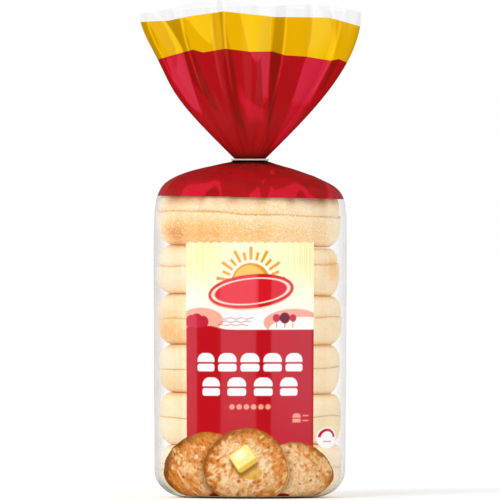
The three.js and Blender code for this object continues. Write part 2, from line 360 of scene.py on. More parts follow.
def wall_radius(ring, z):
    """Radius of the wall, creased at the sides, rounded at the foot and drawn in at the shoulder."""
    ridge = EDGE_RIDGE * np.exp(-((ring.depth / EDGE_SPREAD) ** 2))
    full = FRONT_RADIUS + (SIDE_RADIUS - FRONT_RADIUS) * ring.place**2 + ridge
    below = FOOT_CORNER - np.clip(z, 0, FOOT_CORNER)
    tapered = full * (1 - FOOT_TAPER * (1 - np.minimum(1, z / SHOULDER_TOP)))
    wall = tapered - FOOT_SPREAD * (1 - np.sqrt(1 - (below / FOOT_CORNER) ** 2))
    cone = SKIRT_RADIUS + (SHOULDER_TOP - z) / (SHOULDER_SLOPE + SHOULDER_LEAN * ring.place)
    blend = SHOULDER_BLEND + BLEND_LEAN * ring.place
    return (wall**-blend + cone**-blend) ** (-1 / blend)


def body_points(ring, z):
    """The film of the body at a height, with its wrinkles and gathers."""
    z = z + np.zeros_like(ring.turn)
    radius = wall_radius(ring, z)
    slope = (wall_radius(ring, z + SLOPE_STEP) - wall_radius(ring, z - SLOPE_STEP)) / (2 * SLOPE_STEP)
    steep = np.hypot(1, slope)
    on_shoulder = smooth(PANEL_TOP, CROWN_FOOT, z) * (1 - smooth(30, 46, radius))
    out = GATHER_DEPTH * ring.fold * on_shoulder * smooth(SKIRT_RADIUS + 1, 20, radius)
    bare = np.stack([radius * ring.place, radius * ring.depth, z], -1)
    out = out + wrinkles(bare, radius)
    return bare + out[:, None] * np.stack([ring.place, ring.depth, -slope], -1) / steep[:, None]


def wrinkles(points, radius):
    """How far the film stands out: long upright ripples on the wall, crumples on the shoulder."""
    z = points[:, 2]
    upright = layered_noise(points * (1, 1, 0.12), size=7, seed=3) - 0.4
    crumple = 0.4 - np.abs(2 * layered_noise(points * (1, 1, 1.6), size=21, seed=11) - 1)
    crease = 0.5 - np.abs(2 * layered_noise(points * (1, 1, 1.3), size=9, seed=17, layers=1) - 1)
    shoulder = smooth(153, 163, z) * smooth(11, 26, radius)
    foot = 1 - smooth(3, 18, z)
    at_side = smooth(0.72, 0.97, np.abs(points[:, 0]) / radius)
    wall = (1 - shoulder) * smooth(0, 12, z) * (WALL_RIPPLE + SIDE_RIPPLE * at_side)
    ripple = (wall + FOOT_RIPPLE * foot) * upright
    return ripple + shoulder * (CRUMPLE_DEPTH * crumple + CREASE_DEPTH * crease)


def fan_width(ring, height):
    """Half width of the fan at a height above its foot, on the side of each column."""
    rise = np.sin(math.pi / 2 * np.minimum(1, height / FAN_RISE))
    full = FAN_FOOT_WIDTH + (FAN_WIDTH - FAN_FOOT_WIDTH) * rise
    dent = LEFT_DENT * np.exp(-(((height - LEFT_DENT_AT) / LEFT_DENT_SPREAD) ** 2))
    return full - dent * smooth(0, 1, -ring.place)


def fan_points(ring, z):
    """The film of the fan at a height for each column."""
    lip = ring.choose(FRONT_LIP, BACK_LIP)
    share = np.clip((z - FAN_FOOT) / (lip - FAN_FOOT), 0, 1)
    half_depth = FAN_FOOT_DEPTH + (FAN_DEPTH - FAN_FOOT_DEPTH) * np.sin(math.pi / 2 * share)
    fine = np.sin(9 * math.pi * ring.place + 1.3) + 0.5 * np.sin(14 * math.pi * ring.place)
    near_neck = (1 - share) ** 2 * smooth(0, 0.06, share) * (1 - np.abs(ring.place) ** 6)
    out = ring.fold * share**0.65 + FINE_PLEAT * fine * near_neck
    x = ring.place * fan_width(ring, z - FAN_FOOT)
    slack = layered_noise(np.stack([x, ring.depth * 30, z * 0.35], -1), size=14, seed=29) - 0.5
    out = out + SLACK * slack * smooth(0.1, 0.5, share)
    return np.stack([x, ring.depth * half_depth + out * np.where(ring.back, 1, -1), z], -1)


def crown_foot(ring, z, tilted):
    """Height of a row near the straight lower edge of the red print, which leans a little."""
    return z + tilted * CROWN_FOOT_SLOPE * SIDE_RADIUS * ring.place


def make_mesh(name, rows, closed, materials, row_material=None):
    """A mesh over rows of points, each row joined to the next one."""
    grid = np.array(rows)
    count, width = grid.shape[:2]
    wraps = width if closed else width - 1
    row, column = np.meshgrid(np.arange(count - 1), np.arange(wraps), indexing="ij")
    first = row * width + column
    after = row * width + (column + 1) % width
    faces = np.stack([first, after, after + width, first + width], -1).reshape(-1, 4)
    made = bpy.data.meshes.new(name)
    made.from_pydata((grid.reshape(-1, 3) * MM).tolist(), [], faces.tolist())
    for material in materials:
        made.materials.append(material)
    if row_material is not None:
        index = np.repeat(np.asarray(row_material), wraps)
        made.polygons.foreach_set("material_index", index.astype(np.int32))
    made.shade_smooth()
    return add_object(name, made)


def add_object(name, data):
    made = bpy.data.objects.new(name, data)
    bpy.context.scene.collection.objects.link(made)
    return made


def paint_points(piece, name, values):
    """Stores a colour or a number for each point of a piece, for its material to read."""
    values = np.asarray(values, np.float32)
    is_colour = values.ndim == 3
    if is_colour:
        values = np.pad(values, ((0, 0), (0, 0), (0, 1)), constant_values=1)
    layer = piece.data.attributes.new(name, "FLOAT_COLOR" if is_colour else "FLOAT", "POINT")
    layer.data.foreach_set("color" if is_colour else "value", values.ravel())


def make_wall(material):
    """The clear film from the middle of the foot up to the red print."""
    ring = Ring(np.arange(COLUMNS) / COLUMNS)
    base = body_points(ring, 0.0)
    rows = [base * (share, share, 1) for share in np.linspace(0.02, 0.96, 12)]
    corner = FOOT_CORNER * (1 - np.cos(np.linspace(0, math.pi / 2, 18)))
    for z in (*corner, *np.linspace(16, CROWN_FOOT, 104)):
        rows.append(body_points(ring, crown_foot(ring, z, smooth(130, CROWN_FOOT, z))))
    rows = np.array(rows)
    rows[..., 2] = np.maximum(rows[..., 2], FILM_FLOOR)
    wall = make_mesh("film_wall", rows, True, [material])
    crease = film_crease_shade(rows, ring)
    # The painted crease shade also makes the film milkier there.
    paint_points(wall, "haze", film_haze_and_painted_shade(rows, ring) + 0.3 * crease)
    paint_points(wall, "crease", crease)
    return wall


def film_haze_and_painted_shade(rows, ring):
    """How milky the clear film is: thin in front, thicker in streaks at the sides and the foot, and at the
    sides greyer on the left than on the right as painted shade.
    """
    at_side = 1 - smooth(0.1, 0.5, np.abs(ring.depth))
    streaks = layered_noise(rows * (1, 1, 0.03), size=9, seed=71, layers=1)
    foot = 1 - smooth(1, 12, rows[..., 2])
    # Painted shade: the haze at the sides is greyer on the left than on the right.
    milky = 0.4 - 0.16 * ring.place
    return 0.03 + at_side * (milky + 0.2 * (streaks - 0.5)) + foot * (0.05 + 0.2 * streaks)


def film_crease_shade(rows, ring):
    """Painted shade in creases that run down the foot corner of the film on the left."""
    z = rows[..., 2]
    unrolled = np.stack([400 * ring.turn + 0 * z, 0.1 * z, 0 * z], -1)
    lines = layered_noise(unrolled, size=3.5, seed=75)
    at_left = smooth(0.75, 0.93, -ring.place) * smooth(1.5, 3, z) * (1 - smooth(5, 12, z))
    return at_left * smooth(0.5, 0.75, lines)


def make_crown(red, yellow, clear):
    """The printed film: the shoulder, the neck through the tag and the fan, up to its open mouth."""
    front = np.arange(FRONT_COLUMNS) / FRONT_COLUMNS / 2
    back = 0.5 + np.arange(BACK_COLUMNS) / BACK_COLUMNS / 2
    ring = Ring(np.concatenate([front, back]))
    rows, bands, *looks = zip(*shoulder_rows(ring), *neck_rows(ring), *fan_rows(ring))
    crown = make_mesh("film_crown", rows, True, [red, yellow, clear], bands[:-1])
    # Painted light for the ink colour, crumple for the gloss, haze for the bare film (partly painted
    # shade).
    for name, values in zip(("painted_light", "crumple", "haze"), looks):
        paint_points(crown, name, np.array([value + np.zeros(len(ring.turn)) for value in values]))
    return crown


def shoulder_rows(ring):
    """Rows up the shoulder, each with its points, band, painted light, crumple and haze."""
    climb = 1 - np.linspace(1, 0, SHOULDER_ROWS) ** 1.7
    rows = []
    for z in CROWN_FOOT + (SHOULDER_TOP - CROWN_FOOT) * climb:
        points = body_points(ring, crown_foot(ring, z, 1 - smooth(CROWN_FOOT, 170, z)))
        rows.append((points, RED, shoulder_painted_light(points), 0.8 + 0.2 * smooth(160, 172, z), 0))
    return rows


def neck_rows(ring):
    """Rows of the gathered neck, from the top of the shoulder up through the hole of the tag."""
    pleat = 1 + 0.07 * np.sin(TAU * 9 * ring.turn) + 0.05 * np.sin(TAU * 14 * ring.turn + 1)
    low, high = TAG_Z - TAG_THICKNESS / 2, TAG_Z + TAG_THICKNESS / 2
    neck = [
        (SKIRT_RADIUS - 0.6, low - 0.2),
        (SKIRT_RADIUS - 2, low - TAG_GAP),
        (NECK_RADIUS, low - TAG_GAP),
        (NECK_RADIUS * 0.93, TAG_Z),
        (NECK_RADIUS, high + TAG_GAP),
    ]
    rows = []
    for radius, z in neck:
        out = radius * pleat
        if radius <= NECK_RADIUS:
            out = np.minimum(out, NECK_RADIUS + 0.15)
        points = np.stack([out * ring.place, out * ring.depth, 0 * out + z], -1)
        # The neck gets the deepest painted shade of the red ink, round the tag.
        rows.append((points, RED, 0, 1, 0))
    return rows


def fan_rows(ring):
    """Rows up the fan: over the red band, the yellow one and the bare film to the lip."""
    edges = [
        np.full(len(ring.turn), FAN_FOOT),
        ring.choose(RED_EDGE, RED_BACK),
        ring.choose(YELLOW_EDGE, YELLOW_BACK),
        ring.choose(FRONT_LIP, BACK_LIP),
    ]
    rows = []
    for band, count in enumerate(FAN_ROWS):
        for share in np.linspace(0, 1, count, endpoint=band == BARE):
            points = fan_points(ring, edges[band] + (edges[band + 1] - edges[band]) * share)
            crumple = 1 - smooth(6, 34, points[:, 2] - FAN_FOOT)
            rows.append((points, band, fan_painted_light(ring, points, band), crumple, edge_haze_and_painted_shade(ring, points)))
    return rows


def inside(x, z, patches, soft, fade=PATCH_FADE):
    """How far inside any of the patches points lie: 0 outside, 1 inside, soft at the rim and the ends."""
    most = np.zeros_like(x)
    for patch in patches:
        level, left, right = np.transpose(patch)
        across = np.minimum(x - np.interp(z, level, left), np.interp(z, level, right) - x)
        within_ends = np.minimum((z - level[0]) / fade, (level[-1] - z) / PATCH_FADE)
        most = np.maximum(most, smooth(-soft, soft, np.minimum(across, within_ends)))
    return most


def shoulder_painted_light(points):
    """Painted light on the shoulder's print: painted highlights in patches, painted shade in a few of them
    and by the neck, where the gathered film also lies thicker, and uneven streaks.
    """
    x, z = points[:, 0], points[:, 2]
    radius = np.hypot(x, points[:, 1])
    spread = points * (1, 1, 2.2) / np.maximum(radius, 1)[:, None] ** 0.35 * 4
    bend = 9 * (layered_noise(spread, size=16, seed=83)[:, None] - 0.5)
    field = layered_noise(spread + bend, size=26, seed=87, layers=1)
    streak = layered_noise(spread + 2 * bend, size=9, seed=91) - 0.5
    front = points[:, 1] < 0
    behind = smooth(0.56, 0.6, field) * smooth(26, 38, radius)
    lit = np.where(front, inside(x, z, SHOULDER_PAINTED_LIGHT, 0.35), behind)
    deep = np.where(front, inside(x, z, SHOULDER_PAINTED_SHADE, 0.35), 0)
    near_neck = np.exp(-np.maximum(0, radius - SKIRT_RADIUS) / 8)
    painted_light = 0.45 + 0.22 * streak + (0.36 - 0.15 * streak) * lit * (1 - deep) - 0.06 * deep
    return np.clip(painted_light - 0.42 * near_neck, 0, 1)


def fan_painted_light(ring, points, band):
    """Painted light on the fan's print: painted highlights on facets turned to the light and thin ones
    on ridges; painted shade in deep pleats, at the side edges and by the neck, where the gathered film
    also lies thicker.
    """
    x, z = points[:, 0], points[:, 2]
    rise = z - FAN_FOOT
    if band == RED:
        highlights, shades = inside(x, z, RED_PAINTED_HIGHLIGHTS, 0.4, HIGHLIGHT_FADE), inside(x, z, RED_PAINTED_SHADE, 0.7)
    else:
        highlights, shades = inside(x, z, YELLOW_PAINTED_HIGHLIGHTS, 0.4), inside(x, z, YELLOW_PAINTED_SHADE, 0.7)
    painted = 0.45 * highlights - 0.2 * shades * smooth(2, 20, rise)
    if band == RED:
        painted = painted + 0.3 * inside(x, z, RED_SOFT_PAINTED_HIGHLIGHTS, 1.2)
    run = np.gradient(x)
    slope = soften(np.gradient(points[:, 1]) / np.where(np.abs(run) < 0.02, 0.02, run), 1)
    behind = 0.4 * smooth(0.2, 0.34, slope) - 0.2 * smooth(0.3, 0.6, -slope)
    line = np.zeros_like(x)
    for place, bright in RIDGE_LINES:
        away = (ring.place - place) * fan_width(ring, rise)
        line += bright * np.exp(-((away / RIDGE_WIDTH) ** 2))
    painted_light = 0.5 + np.where(ring.back, behind * smooth(4, 34, rise), painted)
    painted_light = painted_light + np.where(ring.back, 0, 0.45 * line * smooth(30, 44, rise))
    flow = layered_noise(points * (1, 0.5, 0.3), size=13, seed=95) - 0.5
    painted_light = painted_light + 0.14 * flow * smooth(0, 20, rise) - 0.1 * smooth(0.96, 1, np.abs(ring.place))
    return np.clip(painted_light - 0.5 * np.exp(-rise / 3.6), 0, 1)


def edge_haze_and_painted_shade(ring, points):
    """How milky the bare film above the print is: a few facets are hazy grey, partly as painted shade,
    the rest is clear.
    """
    return 0.04 + 0.4 * inside(points[:, 0], points[:, 2], EDGE_PAINTED_SHADE_FACETS, 0.9) * ~ring.back


# The print, painted on thin layers just outside the film


def layer_points(arc, z, lift):
    """Points just outside the film, at arc lengths from the front's middle and at a height."""
    ring = Ring(0.25 + arc / (TAU * FRONT_RADIUS), closed=False)
    points = body_points(ring, np.full(len(arc), z))
    up = body_points(ring, np.full(len(arc), z + 2 * SLOPE_STEP)) - points
    normal = np.cross(np.gradient(points, axis=0), up)
    normal /= np.linalg.norm(normal, axis=1)[:, None]
    return points + lift * normal


def make_layer(name, reach, rise, step, lift, paint, material):
    """A printed patch from arc length to arc length and from height to height, painted point by point."""
    arc, z = (np.linspace(low, high, round((high - low) / step) + 1) for low, high in (reach, rise))
    piece = make_mesh(name, [layer_points(arc, height, lift) for height in z], False, [material])
    art = Canvas(*np.meshgrid(arc, z))
    paint(art)
    paint_points(piece, "print_colour", art.colour)
    paint_points(piece, "ink", art.ink)
    return piece


def within(distance, soft=INK_SOFT):
    """1 where a signed distance is negative and 0 where it is positive, with a soft edge."""
    return np.clip(0.5 - distance / soft, 0, 1)


def rounded_box(right, up, half, round_by):
    """Signed distance to a box with round corners, from the distances to its middle."""
    right, up = np.abs(right) - half[0] + round_by, np.abs(up) - half[1] + round_by
    outside = np.hypot(np.maximum(right, 0), np.maximum(up, 0))
    return outside + np.minimum(np.maximum(right, up), 0) - round_by


class Canvas:
    """A picture over arrays of arc length and height, painted shape by shape on white."""

    def __init__(self, arc, z):
        self.arc, self.z = arc, z
        self.straight = FRONT_RADIUS * np.sin(arc / FRONT_RADIUS)
        self.colour = np.ones(arc.shape + (3,))
        self.ink = np.ones_like(arc)

    def fill(self, colour, distance, strength=1.0, soft=INK_SOFT):
        """Paints where the signed distance is negative."""
        self.wash(colour, within(distance, soft) * strength)

    def wash(self, colour, strength):
        """Lays a colour over everything, as strong as an array says."""
        mask = np.clip(strength, 0, 1)[..., None]
        self.colour = self.colour * (1 - mask) + linear(colour) * mask

    def keep(self, behind, distance):
        """Brings an earlier picture back where the signed distance is positive."""
        mask = within(distance)[..., None]
        self.colour = behind * (1 - mask) + self.colour * mask

    def turned(self, at, tilt):
        """How far each place lies from a point, along a tilted line and across it."""
        right, up = self.arc - at[0], self.z - at[1]
        cosine, sine = math.cos(tilt), math.sin(tilt)
        return right * cosine + up * sine, up * cosine - right * sine

    def disc(self, at, radius):
        return np.hypot(self.arc - at[0], self.z - at[1]) - radius

    def oval(self, at, half, tilt=0.0):
        right, up = self.turned(at, tilt)
        return (np.hypot(right / half[0], up / half[1]) - 1) * min(half)

    def bar(self, at, half, round_by):
        return rounded_box(self.arc - at[0], self.z - at[1], half, round_by)


def linear(code):
    """A colour code as linear light."""
    value = np.array([int(code[i : i + 2], 16) for i in (1, 3, 5)]) / 255
    return np.where(value < 0.04045, value / 12.92, ((value + 0.055) / 1.055) ** 2.4)


def panel_art(art):
    """The front panel: a striped cream sky with a plain sunrise crest, low hills, and a red field."""
    arc = art.arc
    fine = np.sin(TAU * arc / 1.25 + 1.4 * np.sin(0.9 * arc))
    broad = np.sin(TAU * arc / 3.3 + 0.8 * np.sin(0.37 * arc))
    stripe = np.clip(0.5 + 0.42 * fine + 0.12 * broad, 0, 1)
    sides = 0.6 + 0.4 * smooth(6, 34, np.abs(arc))
    art.wash("#FFFDE6", 1)
    art.wash("#F7E678", (0.15 + 0.85 * stripe) * smooth(98, 124, art.z) * sides)
    crest(art)
    hills(art)
    field(art)
    ragged = 0.3 * np.sin(1.3 * arc + np.sin(0.31 * arc)) + 0.2 * np.sin(3.1 * arc + 2 * np.sin(0.47 * arc))
    art.ink = within(art.z - (PANEL_TOP - 0.4 + ragged))


def crest(art):
    """A golden sun with rays, rising behind a plain red oval."""
    sun = (0.5, 112.0)
    reach = art.disc(sun, 0)
    turn = np.arctan2(art.z - sun[1], art.arc - sun[0]) / math.pi * SUN_RAYS
    wave = np.abs(turn % 1 - 0.5) * 2
    length = 18.5 - 2.5 * (np.floor(turn) % 2)
    ray = np.maximum((wave - 0.62 + 0.012 * reach) * 3, reach - length)
    art.fill("#E2A23A", np.maximum(ray, sun[1] - 4 - art.z))
    art.fill("#FFFDE6", reach - 11.6)
    art.fill("#DE9A2E", reach - 10.2)
    art.fill("#F3C25C", art.disc((sun[0] - 0.6, sun[1] + 0.5), 8.4))
    middle, tilt = (0.5, 107.4), 0.1
    oval = art.oval(middle, (23.0, 8.8), tilt)
    art.fill("#7E2A10", art.oval((middle[0], middle[1] - 0.8), (23.2, 8.9), tilt), 0.35)
    art.fill("#E0343E", oval)
    art.fill("#D3151F", np.maximum(oval, 4 - (art.arc - middle[0])))
    art.fill("#FBE9D0", np.abs(art.oval(middle, (20.4, 6.6), tilt)) - 0.28)


def hills(art):
    """A quiet landscape in salmon, crimson and maroon between the sky and the field."""
    art.fill("#FFFFFF", np.abs(art.z - 92.5) - 4.2 - 1.2 * np.sin(art.arc * 0.12))
    art.fill("#F3AB95", art.oval((-27, 92.6), (13, 6.4)))
    art.fill("#F3AB95", art.oval((24, 91.2), (17, 7.2)))
    art.fill("#FFFDF0", art.oval((30, 87.5), (20, 6.6)))
    for at, size in [(-33, 3.6), (-29.5, 4.4), (-25.5, 3.2)]:
        art.fill("#C22439", art.disc((at, 91.6), size))
    for at, size, colour in [(14, 2.1, "#C22439"), (18.6, 2.9, "#5E0B12"), (23.2, 2.0, "#C22439")]:
        art.fill(colour, art.disc((at, 93.6), size))
        art.fill(colour, art.bar((at, 90.8), (0.25, 2.2), 0.1))
    for row in range(3):
        wave = 90.0 + 1.7 * row + 0.35 * np.sin((art.arc + 3 * row) * 1.1)
        line = np.maximum(np.abs(art.z - wave) - 0.26, np.abs(art.arc + 9 - 1.5 * row) - 8)
        art.fill("#CF4A58", line)


def field(art):
    """The red field, with pale rows of plain split rolls."""
    bumps = 1.9 * np.exp(-(((art.arc + 22) / 6.5) ** 2)) + 1.2 * np.exp(-(((art.arc + 34) / 4) ** 2))
    art.fill("#B9101A", art.z - (PANEL_SPLIT + bumps))
    for z, places in [(70.2, np.linspace(-24, 24, 5)), (57.6, np.linspace(-21, 21, 4))]:
        for at in places:
            split_roll(art, at, z)
    for at in np.linspace(-9.5, 9.5, 6):
        art.fill("#F29C85", art.oval((at, 47.6), (1.45, 1.35)))
    split_roll(art, 25.5, 41.6, 0.5, "#F29C85")
    for z in (40.4, 43.0):
        art.fill("#F29C85", art.bar((31, z), (1.9, 0.3), 0.3))


def split_roll(art, at, z, scale=1.0, colour="#FFFFFF"):
    """A roll in two halves: a flat foot, a gap and a round-topped cap."""
    cap = art.bar((at, z + 0.6 * scale), (4.9 * scale, 4.6 * scale), 3.9 * scale)
    art.fill(colour, np.maximum(cap, (z + 0.7 * scale) - art.z))
    art.fill(colour, art.bar((at, z - 2.3 * scale), (4.9 * scale, 1.9 * scale), 1.2 * scale))


def rounds_art(art):
    """Three toasted rounds along the foot, the middle one in front with a square of butter."""
    art.wash("#8A5218", 1)
    art.ink = np.zeros_like(art.arc)
    toasted_round(art, (-22.4, 12.3), 22.2, seed=41, lean=2.2, bake=0.15, scorch=0.6)
    toasted_round(art, (23.3, 9.2), 20.3, seed=43, lean=-0.7, bake=-0.22)
    for at, half in [((-21, 0.9), (7, 2.2)), ((21, 0.9), (6, 2.0))]:
        art.fill("#8E0F14", art.oval(at, half))
    art.fill("#5A2A0C", np.hypot(art.straight + 2.2, art.z - 11.6) - 23.6, 0.75, soft=5)
    toasted_round(art, (-1.9, 14.5), 22.0, seed=42, lean=0.6, bake=-0.05, scorch=0.3, lit_side=True)
    butter(art, (-3.5, 21))


def toasted_round(art, at, radius, seed, lean, bake, scorch=0.0, lit_side=False):
    """A toasted crumb face: golden patches, pale strands along a lean, brown specks and a dark rim."""
    along_lean, across = art.turned((0, 0), lean)
    flat = np.stack([along_lean / 1.3, across, np.full_like(across, seed * 9.7)], -1)
    crumb = flat + 3 * (layered_noise(flat, 5, seed + 1)[..., None] - 0.5)
    wobble = 1.6 * (layered_noise(flat, 10, seed) - 0.5) + 0.5 * (layered_noise(flat, 2, seed + 2, 1) - 0.5)
    rim = np.hypot(art.straight - at[0], art.z - at[1]) - radius + wobble
    deep = smooth(-radius, 0, rim)
    fine = layered_noise(crumb, 0.9, seed + 5, 1)
    middle = layered_noise(crumb, 1.9, seed + 9)
    broad = layered_noise(flat, 8, seed + 11)
    specks = layered_noise(flat, 1.1, seed + 17, 1)
    strands = 1 - np.abs(2 * layered_noise(crumb, 1.3, seed + 13, 1) - 1)
    golden = smooth(0.25, 0.75, 0.32 + bake + 0.34 * deep**2 + 0.8 * (broad - 0.5) + 1.2 * (middle - 0.5))
    if lit_side:
        side = np.hypot(art.straight - at[0] - 0.7, art.z - at[1] + 1.0) - radius + 0.3 * wobble
        art.fill("#B0732F", side)
        art.fill("#E0B985", side + 0.35)
        art.ink = np.maximum(art.ink, within(side))
    behind = art.colour
    art.fill("#7C400E", rim)
    art.fill("#E5B374", rim + 0.5)
    art.wash("#CF7616", 0.88 * golden)
    art.wash("#F6E4C6", 0.6 * smooth(0.6, 0.95, strands) * (1 - 0.8 * golden) * (1 - 0.6 * deep**3))
    art.wash("#A45A12", (0.15 + 0.6 * golden) * smooth(0.6, 0.85, fine))
    art.wash("#94500F", 0.75 * smooth(-3.4, -0.2, rim + 2.6 * (middle - 0.5)) * smooth(0.38, 0.6, broad))
    art.wash("#743A0C", (0.15 + 0.4 * deep) * smooth(0.72, 0.9, specks))
    left_side = smooth(0.2, 1, (at[0] - art.straight + 0.5 * (art.z - at[1])) / radius)
    art.wash("#5A2A08", scorch * left_side * smooth(-5, -0.3, rim + 9 * (middle - 0.5)))
    draw = np.random.default_rng(seed).uniform
    for turn, out, size in zip(draw(0, TAU, HOLES), draw(0.2, 0.92, HOLES), draw(0.4, 1.1, HOLES)):
        hole = (at[0] + out * radius * math.cos(turn), at[1] + out * radius * math.sin(turn))
        art.fill("#8E4B12", art.oval(hole, (size, 0.7 * size), turn), 0.75)
    art.keep(behind, rim)
    art.ink = np.maximum(art.ink, within(rim))


def butter(art, at):
    """A soft square of butter, turned on its corner, in a little melted butter."""
    art.fill("#D3A02A", art.oval((at[0] + 2.5, at[1] - 6.5), (7.6, 4.2), -0.3), 0.75)
    half, corner = (6.0, 5.6), 1.8
    right, up = art.turned(at, 0.5935)
    square = rounded_box(right, up, half, corner)
    art.fill("#8A5A26", rounded_box(right + 1.1, up + 1.9, half, corner) - 0.3, 0.85, soft=1.8)
    art.fill("#DDB648", square)
    art.fill("#F6E38F", np.maximum(square + 0.35, -3.3 - up))
    art.fill("#FCF3C0", art.oval((at[0] - 1.6, at[1] + 1.6), (3.4, 2.2), 0.6), 0.9, soft=1.6)
    art.fill("#FFFFF2", art.oval((at[0] - 2.4, at[1] + 2.6), (1.5, 0.7), 0.6))


def badge_art(art):
    """A small plain round mark: white with a red half ring."""
    half_ring = np.maximum(np.abs(art.oval(BADGE_AT, (6.4, 4.1))) - 0.75, BADGE_AT[1] + 0.3 - art.z)
    art.fill("#C8203A", half_ring)
    art.fill("#E9A0A8", art.bar((BADGE_AT[0], BADGE_AT[1] - 1.9), (3.6, 0.35), 0.3))
    art.ink = within(art.oval(BADGE_AT, (8.8, 5.6)))


# The muffins


def side_profile(height, upper, at_foot):
    """The side of a half from its split (0) to its outer face (1): share of height, and how far in."""
    reach, depth = (8.5, 6.3) if upper else (10.5, 8.8)
    if at_foot:
        reach, depth = 13.0, 14.0
    rise = height * (0.5 - 0.5 * np.cos(math.pi * np.linspace(0, 1, SIDE_POINTS)))
    near_split = np.clip(1 - rise / min(3.6, 0.4 * height), 0, 1)
    near_crust = np.clip(1 - (height - rise) / min(reach, 0.85 * height), 0, 1)
    return rise / height, SPLIT_NOTCH * near_split**2, depth * (1 - np.sqrt(1 - near_crust**2))


def half_rows(index, upper):
    """Rows of points over one half, from the middle of its split face out, round and back in."""
    top, split, foot, shift, *half_widths = MUFFINS[index]
    angle = TAU * np.arange(ROUND_POINTS) / ROUND_POINTS
    to_right = 0.5 + 0.5 * np.cos(angle)
    split = between(split, to_right) + seam_wander(angle, index) + (-SPLIT_PRESS if upper else SPLIT_PRESS)
    crust = between(top if upper else foot, to_right) + (SEAM_PRESS if upper else -SEAM_PRESS)
    height = np.abs(crust - split).mean()
    shares, notches, corners = side_profile(height, upper, at_foot=index == len(MUFFINS) - 1 and not upper)
    half_width = half_widths[0 if upper else 1]
    ripple = 0.5 * np.sin(2 * angle + 1.7 * index) + 0.35 * np.sin(3 * angle + 2.9 * index + upper)
    rounder = 1 - 0.16 * np.cos(angle)

    def face(edge, level, out):
        middle = level.mean()
        return [ring_points(angle, shift, edge * part, middle + (level - middle) * part) for part in out]

    out = np.linspace(0.04, 0.96, FACE_POINTS)
    rows = face(half_width + ripple - notches[0], split, out)
    for share, notch, corner in zip(shares, notches, corners):
        reach = half_width + ripple * share - notch - corner * rounder
        rows.append(ring_points(angle, shift, reach, split + (crust - split) * share))
    rows += face(half_width + ripple - corners[-1] * rounder, crust, out[::-1])
    return np.array(rows), np.concatenate([np.zeros(FACE_POINTS), shares, np.ones(FACE_POINTS)])


def seam_wander(angle, index):
    """How the split wanders up and down round a muffin."""
    slow = 0.45 * np.sin(2 * angle + 2.1 * index)
    return slow + 0.3 * np.sin(5 * angle + index) + 0.2 * np.sin(9 * angle + 3 * index)


def between(pair, share):
    return pair[0] + (pair[1] - pair[0]) * share


def ring_points(angle, shift, radius, z):
    across, deep = radius * np.cos(angle), SKIN_SQUASH * radius * np.sin(angle)
    return np.stack([shift + across, deep, z + 0 * angle], -1)


def make_half(index, upper, material):
    """One half of a muffin: lumpy crust on the side and the outer face, rough crumb at the split."""
    rows, kinds = half_rows(index, upper)
    if not upper:
        rows = rows[:, ::-1]
    seed = 60 + 4 * index + 2 * upper
    outward = (rows - rows.mean((0, 1))) * (1, 1, 2)
    outward /= np.linalg.norm(outward, axis=-1)[..., None]
    lumps = np.minimum(0.35, 1.5 * (layered_noise(rows, 17, seed) - 0.55))
    dimples = 1.6 * np.clip(layered_noise(rows, 4.5, seed + 2) - 0.62, 0, 1)
    out = (lumps - dimples) * np.clip(4 * kinds, 0, 1)[:, None]
    rows = inside_film(rows + out[..., None] * outward * (1, 1, 0.25))
    piece = make_mesh(f"muffin_{index + 1}_{'upper' if upper else 'lower'}", rows, True, [material])
    paint_points(piece, "brown", browning(rows, kinds, index, upper, seed))
    paint_points(piece, "shade", crown_shade(rows))
    near_split = 1 - smooth(0, 0.05, kinds)
    paint_points(piece, "split", np.repeat(near_split[:, None], ROUND_POINTS, 1))
    return piece


def inside_film(rows):
    """Holds points inside the film and off its foot."""
    points = rows.reshape(-1, 3).copy()
    points[:, 2] = np.maximum(points[:, 2], FILM_FLOOR + BREAD_CLEARANCE)
    ring = Ring(np.arctan2(-points[:, 1], -points[:, 0]) / TAU % 1, closed=False)
    most = wall_radius(ring, points[:, 2]) - BREAD_CLEARANCE - smooth(150, 158, points[:, 2])
    radius = np.hypot(points[:, 0], points[:, 1])
    points[:, :2] *= np.minimum(1, most / radius)[:, None]
    return points.reshape(rows.shape)


def crown_shade(rows):
    """How much the printed film above shades the bread just under it."""
    below = CROWN_FOOT + CROWN_FOOT_SLOPE * rows[..., 0] - rows[..., 2]
    uneven = layered_noise(rows * (1, 1, 0.2), 9, 57)
    return np.exp(-((np.maximum(0, below) / (2.2 + 3 * uneven)) ** 2)) * smooth(0.25, 0.7, uneven)


def browning(rows, kinds, index, upper, seed):
    """How brown the crust is: pale on the side, golden by the outer face and in a few patches."""
    # The top half of the top muffin starts browner, partly as painted shade under the printed film.
    pale = 0.27 if index == 0 and upper else 0.24
    by_face = smooth(0.8, 1, kinds)[:, None] * (0.12 + 0.36 * layered_noise(rows, 13, seed + 6))
    brown = pale + 0.3 * (layered_noise(rows, 30, seed + 4) - 0.5) + by_face
    angle = np.arctan2(rows[..., 1], rows[..., 0])
    for height, at, reach, rise, strength in BROWNED:
        away = (angle - at + math.pi) % TAU - math.pi
        brown += strength * np.exp(-((away / reach) ** 2) - ((rows[..., 2] - height) / rise) ** 2)
    return np.clip(brown, 0, 1.1)


# Materials


def new_material(name):
    made = bpy.data.materials.new(name)
    made.use_nodes = True
    made.node_tree.nodes.clear()
    return made, made.node_tree


def node(tree, kind, settings=None, **sockets):
    """A shader node, with its settings and its sockets given as values or as other nodes' outputs."""
    made = tree.nodes.new("ShaderNode" + kind)
    for key, value in (settings or {}).items():
        setattr(made, key, value)
    for key, value in sockets.items():
        plug(tree, made.inputs[key.replace("_", " ")], value)
    return made


def plug(tree, socket, value):
    if isinstance(value, bpy.types.NodeSocket):
        tree.links.new(value, socket)
    else:
        socket.default_value = value


def rgba(code):
    return (*linear(code), 1.0)


